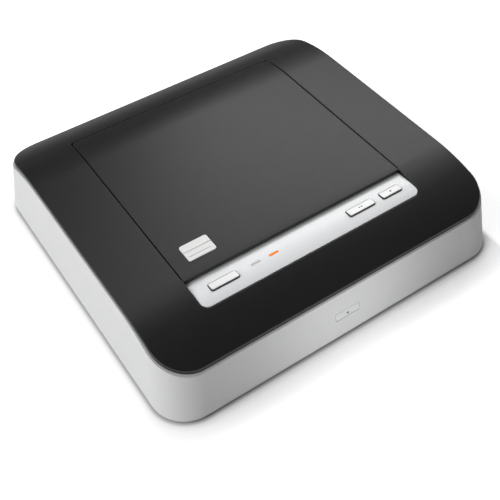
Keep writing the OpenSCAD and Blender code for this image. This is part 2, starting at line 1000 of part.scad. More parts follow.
// deck below the lid: disc well with finger scallops, pickup slot, rims and the hinge trough
module deck() {
    hw = hook_w / 2 + hook_room;
    color([0.13, 0.13, 0.14])
    difference() {
        union() {
            span([-deck_hw, deck_hw], [deck_front, trough_y[0]], [deck_z - deck_t, deck_z]);
            translate([0, disc_y, well_z - well_t])
                linear_extrude(deck_z - well_z + well_t)
                    well_outline(well_t);
            deck_rims();
            deck_trough();
            for (s = hinge_spots)
                hinge_knuckles(s);
        }
        translate([0, disc_y, well_z])
            linear_extrude(body_h)
                well_outline(0);
        span([-slot_w / 2, slot_w / 2], [slot_end, disc_y], [well_z - 2 * well_t, well_z + over]);
        post(0, disc_y, well_z - 2 * well_t, well_z + over, slot_w / 2);
        span([latch_x - hw, latch_x + hw], [hook_y[0] - hook_way[0], hook_y[1] + barb_l + hook_way[1]],
            [deck_z - 2 * deck_t, deck_z + over]);
        for (s = deck_screw_spots)
            post(s[0] * deck_screw_x, s[1], deck_z - 2 * deck_t, deck_z + over,
                small_screw_r + screw_fit / 2);
        for (s = hinge_spots)
            bar_x([s - pin_reach, s + pin_reach], hinge_y, hinge_z, hinge_r);
    }
}

// upstanding rims that close the gap between deck and cover
module deck_rims() {
    in = lid_hw + lid_gap + rim_room;
    front = tray_back + rim_front_gap;
    intersection() {
        union() {
            for (s = [0, 1])
                mirror([s, 0, 0])
                    span([in, in + rim_t], [front, trough_y[1]], [deck_z - over, body_h]);
            span([-in, in], [front, front + front_rim_t], [deck_z - over, deck_z + front_rim_h]);
        }
        under_crown(cover_skin + 3 * sink);
    }
}

module deck_trough() {
    out = lid_hw + lid_gap + rim_room + trough_t;
    in = out - trough_t;
    difference() {
        span([-out, out], [trough_y[0] - trough_t, trough_y[1] + trough_t], [trough_z - trough_t, deck_z]);
        span([-in, in], trough_y, [trough_z, deck_z + over]);
    }
}

// two knuckles of the deck, one on each side of a lid ear
module hinge_knuckles(x) {
    near = ear_w / 2 + knuckle_gap;
    translate([x, 0, 0])
        for (s = [0, 1])
            mirror([s, 0, 0]) {
                bar_x([near, pin_reach], hinge_y, hinge_z, knuckle_r);
                span([near, pin_reach], [hinge_y - knuckle_r, hinge_y + knuckle_r],
                    [trough_z - over, hinge_z]);
            }
}

// pan-head screws into the cover from below: the deck's and the key board's
module deck_screws() {
    color(steel)
    for (s = deck_screw_spots)
        pan_screw(s[0] * deck_screw_x, s[1], deck_z - deck_t, deck_t + small_grip);
    color(steel)
    for (s = key_post_spots)
        pan_screw(s[0], s[1], board_z, key_grip);
}

// small screw driven upwards, its head below the seat
module pan_screw(x, y, seat, l) {
    post(x, y, seat - small_head_h, seat, small_head_r);
    post(x, y, seat - sink, seat + l, small_screw_r);
}

// box below the deck that guides the catch
module latch_housing() {
    wall = latch_t;
    color([0.75, 0.75, 0.73])
    difference() {
        span([latch_in_x[0] - wall, latch_in_x[1] + wall], [latch_in_y[0] - wall, latch_in_y[1] + wall],
            [latch_low - wall, deck_z - deck_t]);
        difference() {
            span(latch_in_x, latch_in_y, [latch_low, deck_z]);
            translate([latch_x, 0, 0])
                for (s = [0, 1])
                    mirror([s, 0, 0])
                        span(rail_x, [rail_y, latch_in_y[1] + over], [latch_low - over, catch_z - rail_gap]);
        }
    }
}

// sprung catch whose nose holds the hook's barb
module latch_catch() {
    color([0.85, 0.30, 0.12])
    translate([latch_x, 0, 0])
        rotate([90, 0, 90])
            linear_extrude(catch_w, center = true)
                polygon([[catch_y[0], catch_z], [catch_y[1], catch_z], [catch_y[1], catch_z + catch_t],
                    [catch_y[0] + catch_nose[0], catch_z + catch_t], [catch_y[0], catch_z + catch_nose[1]]]);
}

// cross-section of a round wire cut level, for a coil of the given pitch
function wire_slice(coil_r, wire_r, pitch) =
    let (half = 360 * wire_r / pitch * 0.96)
    concat(
        [for (i = [-3 : 3]) let (a = half * i / 3, t = wire_r * sqrt(max(0.03, 1 - pow(i / 3, 2))))
            [(coil_r + t) * cos(a), (coil_r + t) * sin(a)]],
        [for (i = [3 : -1 : -3]) let (a = half * i / 3, t = wire_r * sqrt(max(0.03, 1 - pow(i / 3, 2))))
            [(coil_r - t) * cos(a), (coil_r - t) * sin(a)]]);

module coil(coil_r, wire_r, pitch, turns) {
    linear_extrude(pitch * turns, twist = -360 * turns, slices = 12 * turns)
        polygon(wire_slice(coil_r, wire_r, pitch));
}

module latch_spring() {
    color(steel)
    translate([latch_x, catch_y[1], catch_z + catch_t / 2])
        rotate([-90, 0, 0])
            coil(latch_coil_r, latch_wire, latch_coil_pitch, latch_coil_turns);
}

module hinge_pins() {
    color(steel)
    for (s = hinge_spots)
        bar_x([s - pin_reach, s + pin_reach], hinge_y, hinge_z, hinge_r);
}

// lifting spring beside the left hinge, one leg in the trough and one below the lid
module lid_spring() {
    arm_x = spring_pitch * spring_turns - 2 * sink;
    color(steel)
    translate([spring_x, hinge_y, hinge_z]) {
        rotate([0, 90, 0])
            coil(spring_r, spring_wire, spring_pitch, spring_turns);
        translate([sink, -spring_r, -spring_foot])
            cylinder(r = spring_wire, h = spring_foot + sink);
        translate([arm_x, 2 * sink, spring_r])
            rotate([90, 0, 0])
                cylinder(r = spring_wire, h = spring_arm);
    }
}

// steel chassis of the disc mechanism
module traverse_plate() {
    slot = plate_slot / 2;
    color(steel)
    difference() {
        union() {
            span([-plate_hw, plate_hw], plate_y, [plate_z, plate_top]);
            span([plate_ear_x, plate_hw], [plate_ear_y, plate_y[0] + over], [plate_z, plate_top]);
            for (x = [-rod_x, rod_x])
                for (y = [rod_y[0], rod_y[1] - rod_block])
                    span([x - rod_block, x + rod_block], [y, y + rod_block],
                        [plate_top - sink, rod_z + rod_block]);
            span([screw_x - screw_block_w / 2, screw_x + screw_block_w / 2], screw_block_y,
                [plate_top - sink, rod_z + screw_block_top]);
        }
        rounded_block([-slot[0], slot[0]], [plate_slot_y - slot[1], plate_slot_y + slot[1]],
            [plate_z - over, plate_top + over], plate_slot_r);
        for (s = mount_spots)
            post(s[0], s[1], plate_z - over, plate_top + over, mount_hole_r);
        for (x = [-rod_x, rod_x])
            bar_y(x, [rod_y[0] - over, rod_y[1] + over], rod_z, rod_r);
        bar_y(screw_x, [screw_block_y[0] - over, screw_block_y[1] + over], rod_z, journal_r + run_gap);
    }
}

// rubber mounts that carry the chassis on the case's posts
module isolators() {
    color([0.08, 0.08, 0.08])
    for (s = mount_spots)
        translate([s[0], s[1], plate_z])
            rotate_extrude()
                polygon([[isolator_bore, -isolator_foot], [isolator_r, -isolator_foot], [isolator_r, 0],
                    [mount_hole_r, 0], [mount_hole_r, plate_t], [isolator_r, plate_t],
                    [isolator_r, plate_t + isolator_cap], [isolator_bore, plate_t + isolator_cap]]);
}

module isolator_screws() {
    seat = plate_top + isolator_cap;
    color(steel)
    for (s = mount_spots) {
        post(s[0], s[1], seat, seat + washer_t, washer_r);
        post(s[0], s[1], plate_z - mount_bore + 2 * over, seat + sink, small_screw_r);
    }
}

// fixed half of the spindle motor: base, bearing tube and iron core
module motor_base() {
    color([0.45, 0.36, 0.22])
    translate([0, disc_y, 0])
        difference() {
            union() {
                post(0, 0, plate_top, plate_top + stator_base[1], stator_base[0]);
                post(0, 0, plate_top + stator_base[1] - sink, rod_z + tube_top, tube_r);
                post(0, 0, rod_z + core_z[0], rod_z + core_z[1], core_r);
                for (a = [0 : pole_pitch : 360 - pole_pitch])
                    rotate([0, 0, a])
                        span(pole_x, [-pole_w / 2, pole_w / 2], [rod_z + pole_z[0], rod_z + pole_z[1]]);
            }
            post(0, 0, plate_top + stator_base[1], rod_z + tube_top + over, shaft_r + run_gap);
        }
}

module guide_rods() {
    color([0.80, 0.81, 0.83])
    for (x = [-rod_x, rod_x])
        bar_y(x, rod_y, rod_z, rod_r);
}

// motor that turns the lead screw
module sled_motor() {
    color([0.72, 0.72, 0.74])
    difference() {
        union() {
            bar_y(screw_x, motor_y, rod_z, motor_r);
            span([screw_x - cradle_w / 2, screw_x + cradle_w / 2], [motor_y[0] + over, motor_y[1] - over],
                [plate_top, rod_z - cradle_top]);
        }
        bar_y(screw_x, [motor_y[1] - journal_in - over, motor_y[1] + over], rod_z, journal_r + run_gap);
    }
}

// lead screw: an eccentric thread between two smooth journals
module lead_screw() {
    turns = (thread_y[1] - thread_y[0]) / screw_pitch;
    color(steel)
    union() {
        translate([screw_x, thread_y[0], rod_z])
            rotate([-90, 0, 0])
                linear_extrude(thread_y[1] - thread_y[0], twist = -360 * turns, slices = thread_steps * turns)
                    translate([thread_e, 0])
                        circle(thread_r, $fn = thread_facets);
        bar_y(screw_x, [motor_y[1] - journal_in, thread_y[0] + over], rod_z, journal_r);
        bar_y(screw_x, [thread_y[1] - over, screw_block_y[1]], rod_z, journal_r);
    }
}

// turning half of the spindle motor
module rotor() {
    color([0.60, 0.60, 0.62])
    union() {
        difference() {
            post(0, disc_y, rod_z - rotor_low, rotor_top, rotor_r);
            post(0, disc_y, rod_z - rotor_low - over, rotor_top - rotor_t, rotor_r - rotor_t);
        }
        post(0, disc_y, plate_top + stator_base[1] + shaft_low, disc_z - shaft_top, shaft_r);
    }
}

// platter and centring hub
module turntable() {
    top = seat_z + hub_bed;
    color([0.10, 0.10, 0.11])
    translate([0, disc_y, 0])
        difference() {
            rotate_extrude()
                polygon([[shaft_r, rotor_top], [neck_r, rotor_top], [neck_r, platter_low],
                    [platter_r, platter_low], [platter_r, seat_z], [hub_r, seat_z],
                    [hub_r, seat_z + hub_edge], [hub_rim[0], seat_z + hub_top],
                    [hub_rim[1], seat_z + hub_top], [hub_rim[1], top], [shaft_r, top]]);
            difference() {
                post(0, 0, seat_z - grip_deep, seat_z + over, grip_r[1]);
                post(0, 0, seat_z - over, seat_z + 2 * over, grip_r[0]);
            }
            post(0, 0, rotor_top - over, disc_z - shaft_top, shaft_r);
        }
}

module turntable_pad() {
    color([0.05, 0.05, 0.05])
    translate([0, disc_y, 0])
        rotate_extrude()
            translate([grip_r[0], seat_z - grip_deep])
                square([grip_r[1] - grip_r[0], grip_deep + disc_pad]);
}

module hub_plate() {
    color(steel)
    post(0, disc_y, seat_z + hub_bed, seat_z + hub_bed + hub_plate_t, hub_plate_r);
}

// pickup's frame: a full bush on the left rod and an open fork on the right one
module sled_body() {
    half = sled_bush_w / 2;
    rise = sled_bush_h / 2;
    way = [sled_y[0] - over, sled_y[1] + over];
    color([0.42, 0.43, 0.45])
    difference() {
        union() {
            span([-rod_x - half, -rod_x + half], sled_y, [rod_z - rise, rod_z + rise]);
            span([-rod_x, rod_x + sled_bridge], [sled_y[0] + 2 * over, sled_y[1] - over], sled_z);
        }
        for (x = [-rod_x, rod_x])
            bar_y(x, way, rod_z, rod_r + run_gap);
        span([rod_x, rod_x + half], way, [rod_z - rod_r - run_gap, rod_z + rod_r + run_gap]);
        span([-well_w / 2, well_w / 2], [lens_y - well_d / 2, lens_y + well_d / 2], [lens_z, disc_z]);
    }
}

// follower with the tooth that runs in the lead screw
module sled_nut() {
    color(white)
    union() {
        span([rod_x + nut_x[0], screw_x - nut_x[2]], [tooth_y - nut_y[0], tooth_y + nut_y[0]],
            [rod_z + nut_z[1], rod_z + nut_z[2]]);
        span([rod_x + nut_x[1], screw_x - nut_x[2]], [tooth_y - nut_y[1], tooth_y + nut_y[1]],
            [rod_z + nut_z[0], rod_z + nut_z[1] + sink]);
        span([screw_x - tooth_x[0], screw_x - tooth_x[1]], [tooth_y - nut_y[2], tooth_y + nut_y[2]],
            [rod_z - tooth_h, rod_z + tooth_h]);
    }
}

// lens carrier in the pickup
module actuator() {
    color([0.14, 0.14, 0.15])
    difference() {
        union() {
            span([-carrier[0] / 2, carrier[0] / 2], [lens_y - carrier[1] / 2, lens_y + carrier[1] / 2],
                [lens_z, lens_z + carrier[2]]);
            post(0, lens_y, lens_z + carrier[2] - sink, lens_tube_top, lens_tube_r);
        }
        post(0, lens_y, lens_low, disc_z, lens_seat_r);
    }
}

module lens() {
    color([0.55, 0.65, 0.85, 0.7])
    intersection() {
        translate([0, lens_y, lens_ball_z])
            sphere(r = lens_ball_r);
        post(0, lens_y, lens_low, disc_z, lens_r);
    }
}

// black lid: crowned skin, stiffening rib, hinge ears and posts for the lining
module lid_shell() {
    color(black)
    difference() {
        union() {
            intersection() {
                lid_block(0, lid_r);
                difference() {
                    under_crown(0);
                    under_crown(lid_skin);
                }
            }
            intersection() {
                union() {
                    lid_rib();
                    for (s = hinge_spots)
                        hinge_ear(s);
                    for (s = lid_screw_spots)
                        post(s[0], s[1], panel_top, body_h, lid_post_r);
                }
                under_crown(lid_skin / 2);
            }
        }
        translate([pad_at[0], pad_at[1], body_h - pad_deep])
            linear_extrude(pad_size[2] + over)
                rounded(pad_size[0], pad_size[1], pad_r);
        for (s = hinge_spots) {
            bar_x([s - ear_w, s + ear_w], hinge_y, hinge_z, hinge_r + run_gap);
            knuckle_reliefs(s);
        }
        for (s = lid_screw_spots)
            post(s[0], s[1], panel_top - over, panel_top + lid_grip, small_screw_r);
    }
}

// hollows in the lid's skin over the two knuckles beside an ear
module knuckle_reliefs(x) {
    near = ear_w / 2 + knuckle_gap / 2;
    intersection() {
        translate([x, 0, 0])
            for (s = [0, 1])
                mirror([s, 0, 0])
                    span([near, near + relief_x], [hinge_y + relief_y[0], hinge_y + relief_y[1]],
                        [hinge_z, body_h]);
        under_crown(relief_top);
    }
}

// rib that runs round the lid, inside its edge
module lid_rib() {
    in = panel_hw - rib_t;
    difference() {
        span([-panel_hw, panel_hw], panel_y, [panel_top, body_h]);
        span([-in, in], [panel_y[0] + rib_t, panel_y[1] - rib_t], [panel_top - over, body_h + over]);
    }
}

module hinge_ear(x) {
    way = [x - ear_w / 2, x + ear_w / 2];
    bar_x(way, hinge_y, hinge_z, ear_r);
    span(way, [hinge_y - ear_front, hinge_y + ear_back], [hinge_z + knuckle_r, body_h]);
    span(way, [hinge_y - ear_neck, hinge_y], [hinge_z, hinge_z + knuckle_r + over]);
}

// lining of the lid with the cage that carries the disc clamp
module lid_panel() {
    color([0.12, 0.12, 0.13])
    difference() {
        union() {
            span([-panel_hw, panel_hw], panel_y, [panel_z, panel_top]);
            post(0, disc_y, cage_z, panel_top, cage_r);
        }
        post(0, disc_y, cage_z + cage_floor, panel_top + over, cage_r - cage_t);
        post(0, disc_y, cage_z - over, panel_top + over, cage_hole);
        span([latch_x - hook_w / 2, latch_x + hook_w / 2], hook_y, [panel_z - over, panel_top + over]);
        for (s = lid_screw_spots)
            post(s[0], s[1], panel_z - over, panel_top + over, small_screw_r + screw_fit / 2);
    }
}

module lid_screws() {
    color(steel)
    for (s = lid_screw_spots)
        pan_screw(s[0], s[1], panel_z, panel_t + lid_grip);
}

// silver touch plate with its two grooves
module open_pad() {
    top = body_h + pad_size[2];
    half = pad_size[0] / 2;
    color(silver)
    difference() {
        translate([pad_at[0], pad_at[1], body_h - pad_deep])
            linear_extrude(pad_deep + pad_size[2])
                rounded(pad_size[0], pad_size[1], pad_r);
        translate([pad_at[0], pad_at[1], 0]) {
            span([-half - over, half + over], [groove_y[0], groove_y[0] + groove_w],
                [top - groove_deep[0], top + over]);
            span([groove_end - half, half - groove_end], [groove_y[1], groove_y[1] + groove_w],
                [top - groove_deep[1], top + over]);
        }
    }
}

// hook on the lining that drops into the latch
module latch_hook() {
    half = hook_w / 2;
    color([0.16, 0.16, 0.17])
    translate([latch_x, 0, 0])
        union() {
            span([-half - hook_foot[0], half + hook_foot[0]],
                [hook_y[0] - hook_foot[0], hook_y[1] + hook_foot[1]], [panel_top, panel_top + hook_foot[2]]);
            span([-half, half], hook_y, [hook_low, panel_top + sink]);
            rotate([90, 0, 90])
                linear_extrude(hook_w, center = true)
                    polygon([[hook_y[1] - sink, hook_low], [hook_y[1] + barb_tip[0], hook_low],
                        [hook_y[1] + barb_l, hook_low + barb_tip[1]], [hook_y[1] + barb_l, hook_low + barb_h],
                        [hook_y[1] - sink, hook_low + barb_h]]);
        }
}

// floating clamp that presses the disc onto the turntable
module clamper_puck() {
    bed = magnet_r + magnet_room;
    color([0.80, 0.80, 0.78])
    translate([0, disc_y, 0])
        rotate_extrude()
            polygon([[puck_r[0], puck_z[0]], [puck_r[3], puck_z[0]], [puck_r[3], puck_z[2]],
                [puck_r[1], puck_z[3]], [puck_r[1], puck_z[4]], [puck_r[2], puck_z[4]],
                [puck_r[2], puck_z[5]], [bed, puck_z[5]], [bed, magnet_z], [0, magnet_z],
                [0, puck_z[1]], [puck_r[0], puck_z[1]]]);
}

module clamper_magnet() {
    color(steel)
    post(0, disc_y, magnet_z, magnet_z + magnet_t, magnet_r);
}

module main_board() {
    color(green)
    span(main_x, main_y, [pcb_z, pcb_top]);
}

module main_chips() {
    color([0.11, 0.11, 0.12])
    for (c = chips)
        span(c[0], c[1], [pcb_top, pcb_top + c[2]]);
}

module main_connectors() {
    color(white)
    for (c = plugs)
        span(c[0], c[1], [pcb_top, pcb_top + c[2]]);
}

module capacitors() {
    color([0.70, 0.71, 0.74])
    for (c = cans)
        post(c[0], c[1], pcb_top, pcb_top + c[3], c[2]);
}

module psu_board() {
    color([0.62, 0.50, 0.22])
    span(psu_x, psu_y, [pcb_z, pcb_top]);
}

// switching transformer: yellow winding between two ferrite halves
module transformer() {
    color([0.78, 0.66, 0.20])
    translate([coil_at[0], coil_at[1], pcb_top])
        union() {
            standing_block(core_base, 0);
            standing_block(winding, core_base[2] - sink);
            standing_block(core_leg, core_base[2]);
        }
}

// block centred on the Z axis, from a low limit up to its third size
module standing_block(size, low) {
    span([-size[0] / 2, size[0] / 2], [-size[1] / 2, size[1] / 2], [low, size[2]]);
}

// two-pin mains socket
module mains_inlet() {
    half = inlet_w / 2;
    face = rear_y + inlet_proud;
    color([0.07, 0.07, 0.07])
    difference() {
        union() {
            span([inlet_x - half - inlet_flange, inlet_x + half + inlet_flange],
                [rear_y - inlet_back, rear_y - panel_thick], [pcb_top, jack_z + inlet_h / 2]);
            rounded_block_y([inlet_x - half, inlet_x + half], [rear_y - panel_thick - over, face],
                [jack_z - inlet_h / 2, jack_z + inlet_h / 2], inlet_r);
        }
        translate([inlet_x, rear_y - inlet_deep, jack_z])
            rotate([-90, 0, 0])
                linear_extrude(inlet_deep + inlet_proud + over) {
                    for (s = [-1, 1])
                        translate([s * inlet_pitch / 2, 0])
                            circle(inlet_lobe_r);
                    square([inlet_pitch, inlet_waist], center = true);
                }
        for (s = [-1, 1])
            bar_y(inlet_x + s * inlet_pitch / 2, [rear_y - inlet_back - over, rear_y], jack_z, inlet_tail_r);
    }
}

// a box along Y with round edges
module rounded_block_y(x, y, z, r) {
    translate([(x[0] + x[1]) / 2, y[0], (z[0] + z[1]) / 2])
        rotate([-90, 0, 0])
            linear_extrude(y[1] - y[0])
                rounded(x[1] - x[0], z[1] - z[0], r);
}

module inlet_pins() {
    bed = rear_y - inlet_deep;
    color([0.82, 0.82, 0.80])
    for (s = [-1, 1])
        translate([inlet_x + s * inlet_pitch / 2, 0, jack_z]) {
            bar_y(0, [rear_y - inlet_back - over, bed + sink], 0, inlet_tail_r);
            bar_y(0, [bed, rear_y + inlet_pin_end], 0, inlet_pin_r);
        }
}

// black panel behind the window in the back wall
module rear_panel() {
    half = [inlet_w / 2 + inlet_room, inlet_h / 2 + inlet_room];
    through = [rear_y - panel_thick - over, rear_y + over];
    color([0.10, 0.10, 0.11])
    difference() {
        span(panel_x, [rear_y - panel_thick, rear_y], panel_edge_z);
        for (x = jack_x)
            bar_y(x, through, jack_z, jack_hole_r);
        rounded_block_y([inlet_x - half[0], inlet_x + half[0]], through, [jack_z - half[1], jack_z + half[1]],
            inlet_r + inlet_room);
    }
}

module rca_bodies() {
    half = jack_body[0] / 2;
    color([0.08, 0.08, 0.08])
    for (x = jack_x)
        span([x - half, x + half], [rear_y - jack_body[1], rear_y - panel_thick],
            [pcb_top, jack_z + jack_body[2]]);
}

// plated barrels of the output sockets
module rca_barrels() {
    color([0.80, 0.79, 0.74])
    for (x = jack_x)
        translate([x, rear_y, jack_z])
            rotate([-90, 0, 0])
                rotate_extrude()
                    polygon([[barrel_in_r, -panel_thick], [barrel_neck_r, -panel_thick], [barrel_neck_r, 0],
                        [barrel_flange[0], 0], barrel_flange, [rca_r, barrel_flange[1]], [rca_r, barrel_l],
                        [barrel_in_r, barrel_l]]);
}

// coloured plastic core of an output socket
module rca_insert(x) {
    translate([x, rear_y, jack_z])
        rotate([-90, 0, 0])
            difference() {
                post(0, 0, -panel_thick, insert_l, barrel_in_r);
                post(0, 0, -panel_thick - over, insert_l + over, rca_bore);
            }
}

module insert_yellow() {
    color([0.95, 0.80, 0.10])
    rca_insert(jack_x[0]);
}

module insert_white() {
    color([0.93, 0.93, 0.92])
    rca_insert(jack_x[1]);
}

module insert_red() {
    color([0.80, 0.10, 0.10])
    rca_insert(jack_x[2]);
}

module insert_orange() {
    color([0.95, 0.45, 0.08])
    rca_insert(jack_x[3]);
}

side_case();
bottom_plate();
feet();
case_screws();
top_cover();
control_strip();
power_button();
play_button();
stop_button();
on_lens();
standby_lens();
key_board();
tact_switches();
led_chips();
ir_window();
ir_sensor();
deck();
deck_screws();
latch_housing();
latch_catch();
latch_spring();
hinge_pins();
lid_spring();
traverse_plate();
isolators();
isolator_screws();
motor_base();
guide_rods();
sled_motor();
lead_screw();
rotor();
turntable();
turntable_pad();
hub_plate();
sled_body();
sled_nut();
actuator();
lens();
lid_shell();
lid_panel();
lid_screws();
open_pad();
latch_hook();
clamper_puck();
clamper_magnet();
main_board();
main_chips();
main_connectors();
capacitors();
psu_board();
transformer();
mains_inlet();
inlet_pins();
rear_panel();
rca_bodies();
rca_barrels();
insert_yellow();
insert_white();
insert_red();
insert_orange();
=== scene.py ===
import json
import math

import bmesh
import bpy
from mathutils import Matrix, Vector

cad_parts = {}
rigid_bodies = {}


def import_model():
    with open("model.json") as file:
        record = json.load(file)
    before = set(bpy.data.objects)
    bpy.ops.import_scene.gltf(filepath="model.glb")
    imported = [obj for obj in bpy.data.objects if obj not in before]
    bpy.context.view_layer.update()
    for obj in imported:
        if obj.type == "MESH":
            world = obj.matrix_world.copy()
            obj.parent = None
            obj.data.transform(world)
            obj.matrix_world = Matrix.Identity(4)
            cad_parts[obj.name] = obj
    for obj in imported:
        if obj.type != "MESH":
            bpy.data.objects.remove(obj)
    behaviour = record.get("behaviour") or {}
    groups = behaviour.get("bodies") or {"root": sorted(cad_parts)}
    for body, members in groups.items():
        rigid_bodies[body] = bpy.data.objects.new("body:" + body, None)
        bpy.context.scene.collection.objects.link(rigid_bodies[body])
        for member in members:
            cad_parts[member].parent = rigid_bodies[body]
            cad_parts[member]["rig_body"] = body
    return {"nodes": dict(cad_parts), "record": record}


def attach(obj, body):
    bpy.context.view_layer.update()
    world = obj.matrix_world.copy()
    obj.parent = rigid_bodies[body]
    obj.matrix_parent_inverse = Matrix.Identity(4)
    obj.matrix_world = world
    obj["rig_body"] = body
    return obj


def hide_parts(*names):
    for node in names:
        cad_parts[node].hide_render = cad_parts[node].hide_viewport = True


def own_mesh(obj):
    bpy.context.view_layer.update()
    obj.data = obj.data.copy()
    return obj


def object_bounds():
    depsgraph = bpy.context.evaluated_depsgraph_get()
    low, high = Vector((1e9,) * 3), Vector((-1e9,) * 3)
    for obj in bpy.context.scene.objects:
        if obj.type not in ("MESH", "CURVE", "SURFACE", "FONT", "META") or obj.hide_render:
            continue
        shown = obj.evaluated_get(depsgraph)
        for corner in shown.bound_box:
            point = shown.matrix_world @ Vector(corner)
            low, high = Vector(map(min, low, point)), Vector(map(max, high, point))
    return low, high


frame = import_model()
cad_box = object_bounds()
nodes = frame["nodes"]
MM = 0.001
RIGHT = Vector((1, 0, 0))
FORWARD = Vector((0, -1, 0))
UP = Vector((0, 0, 1))

# The camera, fitted to the outlines in the photo. Every azimuth here runs from +Y towards +X, in degrees.
CAMERA_AZIMUTH = -148.02
CAMERA_ELEVATION = 48.78
CAMERA_ROLL = -2.54
CAMERA_TARGET = Vector((-36.44, -66.76, 52.5)) * MM
CAMERA_DISTANCE = 490.7 * MM
CAMERA_LENS = 58.86

# Name, azimuth, elevation, distance, size and radiance. The front lamp has an aim and a spread of its own.
LAMPS = (
    ("back box", 42, 40, 1.4, (0.82, 0.32), 3.5),
    ("back upper box", 42, 54, 1.4, (1.17, 0.29), 0.85),
    ("top box", 0, 62, 1.4, (1.02, 0.39), 0.9),
    ("left box", -75, 32, 1.4, (1.60, 1.15), 2.5),
    ("left upper box", -90, 50, 1.4, (0.75, 0.60), 2.1),
    ("left front box", -110, 25, 1.4, (0.75, 0.75), 2.2),
    ("right box", 78, 22, 1.4, (0.75, 0.60), 1.8),
    ("front lamp", 180, 5, 0.6, (0.08, 0.08), 1.1, (0.0, -0.12, 0.02), 16),
)
# The world is white to the camera. Its light on the object is weaker.
WORLD = 0.14
WORLD_IN_GLOSS = 0.15

# The floor glows for the camera, so that it looks white, but less near the foot, where the shadow is.
FLOOR_HALF = 3.0
FLOOR_GLOW = 0.60
FLOOR_GLOW_IN_GLOSS = 0.12
FAR_GLOW = 0.5
FAR_RANGE = (0.3, 1.2)
# Distances from the foot's outline with the share of the glow there, and the length of the whole ramp.
GLOW_SHARES = (
    (0.001, 0.0), (0.003, 0.2), (0.006, 0.42), (0.010, 0.5), (0.014, 0.6), (0.020, 0.8), (0.040, 1.0),
)
GLOW_SPAN = 0.1
# A painted contact shadow: a dark line where the foot stands on the floor, which fades out across the
# foot's outline.
PAINTED_CONTACT_SHADE = 0.45
PAINTED_SHADOW_INSIDE = 0.5 * MM
PAINTED_SHADOW_OUTSIDE = 2.2 * MM
# The radius of the foot's corners.
FOOT_CORNER = 24 * MM
# The photo has next to no shadow to the right of the object, so distances there count for more.
# There the floor's glow is painted light over the object's shadow.
RIGHT_STRETCH = 8.0

# Texture scales, and the heights of fine relief. Most values of a noise lie in its band.
NOISE_BAND = (0.35, 0.65)
FAINT = 0.06
CLOUD_SCALE = 60.0
SHINE_SCALE = 900.0
SPRAY_SCALE = 2600.0
FLAKE_SCALE = 5200.0
LENS_CLOUD_SCALE = 1500.0
LENS_GRAIN_SCALE = 3000.0
RIB_SCALE = 330.0
TRACK_SCALE = 160.0
GRAIN_HEIGHT = 0.04 * MM
BRUSHED_HEIGHT = 0.02 * MM
FLAKE_HEIGHT = 0.02 * MM
LENS_HEIGHT = 0.03 * MM
RIB_HEIGHT = 0.1 * MM

# Radii of the moulded edges.
ROUNDING = {
    "side_case": 0.4 * MM,
    "bottom_plate": 0.3 * MM,
    "top_cover": 0.4 * MM,
    "lid_shell": 0.4 * MM,
    "control_strip": 0.3 * MM,
    "power_button": 0.3 * MM,
    "play_button": 0.3 * MM,
    "stop_button": 0.3 * MM,
    "open_pad": 0.2 * MM,
    "ir_window": 0.2 * MM,
}
KEYS = ("power_button", "play_button", "stop_button")

# In a moulded copy, points closer than MERGE are one, and so are faces that turn by less than FLAT.
MERGE = 0.002 * MM
FLAT = math.radians(0.6)
SHARP = math.radians(28)
SMOOTH = math.radians(30)
BEVEL_SEGMENTS = 3
BEVEL_SAMPLES = 6
# A key's top reaches this far down, and falls by this slope towards the front.
KEY_TOP_DEPTH = 0.3 * MM
KEY_LEAN = 0.06
# Limits for the upward part of a face's normal: a top, a slant, and the two sides of a top's rim.
TOP_FACE = 0.9
SLANTING_FACE = 0.3
RIM_TOP = 0.75
RIM_SIDE = 0.6

# A sign is laid where a ray from this far off meets its piece.
RAY_START = 0.1
# The signs, in millimetres.
SIGN_HALF_THICKNESS = 0.05
SIGN_HALF_HEIGHT = 0.55
STOP_HALF_WIDTH = 0.65
WINDOW_SIGN_HALF_WIDTH = 0.78
WINDOW_SIGN_HALF_HEIGHT = 0.66
TRIANGLE = [(-1.3, -0.6), (-0.1, 0.0), (-1.3, 0.6)]
BAR_WIDTH = 0.4
BARS_FROM = (0.25, 1.0)


def add_object(name, data):
    obj = bpy.data.objects.new(name, data)
    bpy.context.scene.collection.objects.link(obj)
    return obj


def direction(azimuth, elevation):
    """The unit vector that points that way. Both angles are in degrees."""
    azimuth, elevation = math.radians(azimuth), math.radians(elevation)
    level = math.cos(elevation)
    return Vector((math.sin(azimuth) * level, math.cos(azimuth) * level, math.sin(elevation)))


# ---------------------------------------------------------------- camera
def place_camera():
    back = direction(CAMERA_AZIMUTH, CAMERA_ELEVATION)
    right = (-back).cross(UP).normalized()
    up = right.cross(-back).normalized()
    roll = math.radians(CAMERA_ROLL)
    turned_right = math.cos(roll) * right + math.sin(roll) * up
    turned_up = -math.sin(roll) * right + math.cos(roll) * up
    data = bpy.data.cameras.new("camera")
    data.sensor_width = 36
    data.lens = CAMERA_LENS
    data.clip_start = 0.01
    camera = add_object("camera", data)
    rotation = Matrix((turned_right, turned_up, back)).transposed().to_4x4()
    camera.matrix_world = Matrix.Translation(CAMERA_TARGET + back * CAMERA_DISTANCE) @ rotation
    bpy.context.scene.camera = camera


# ---------------------------------------------------------------- node helpers
def math_node(tree, operation, *values):
    node = tree.nodes.new("ShaderNodeMath")
    node.operation = operation
    for socket, value in zip(node.inputs, values):
        if isinstance(value, bpy.types.NodeSocket):
            tree.links.new(value, socket)
        else:
            socket.default_value = value
    return node.outputs[0]


def map_range(tree, value, before, after):
    """value mapped from the range before to the range after, and held at its ends."""
    node = tree.nodes.new("ShaderNodeMapRange")
    node.inputs["From Min"].default_value, node.inputs["From Max"].default_value = before
    node.inputs["To Min"].default_value, node.inputs["To Max"].default_value = after
    tree.links.new(value, node.inputs["Value"])
    return node.outputs["Result"]


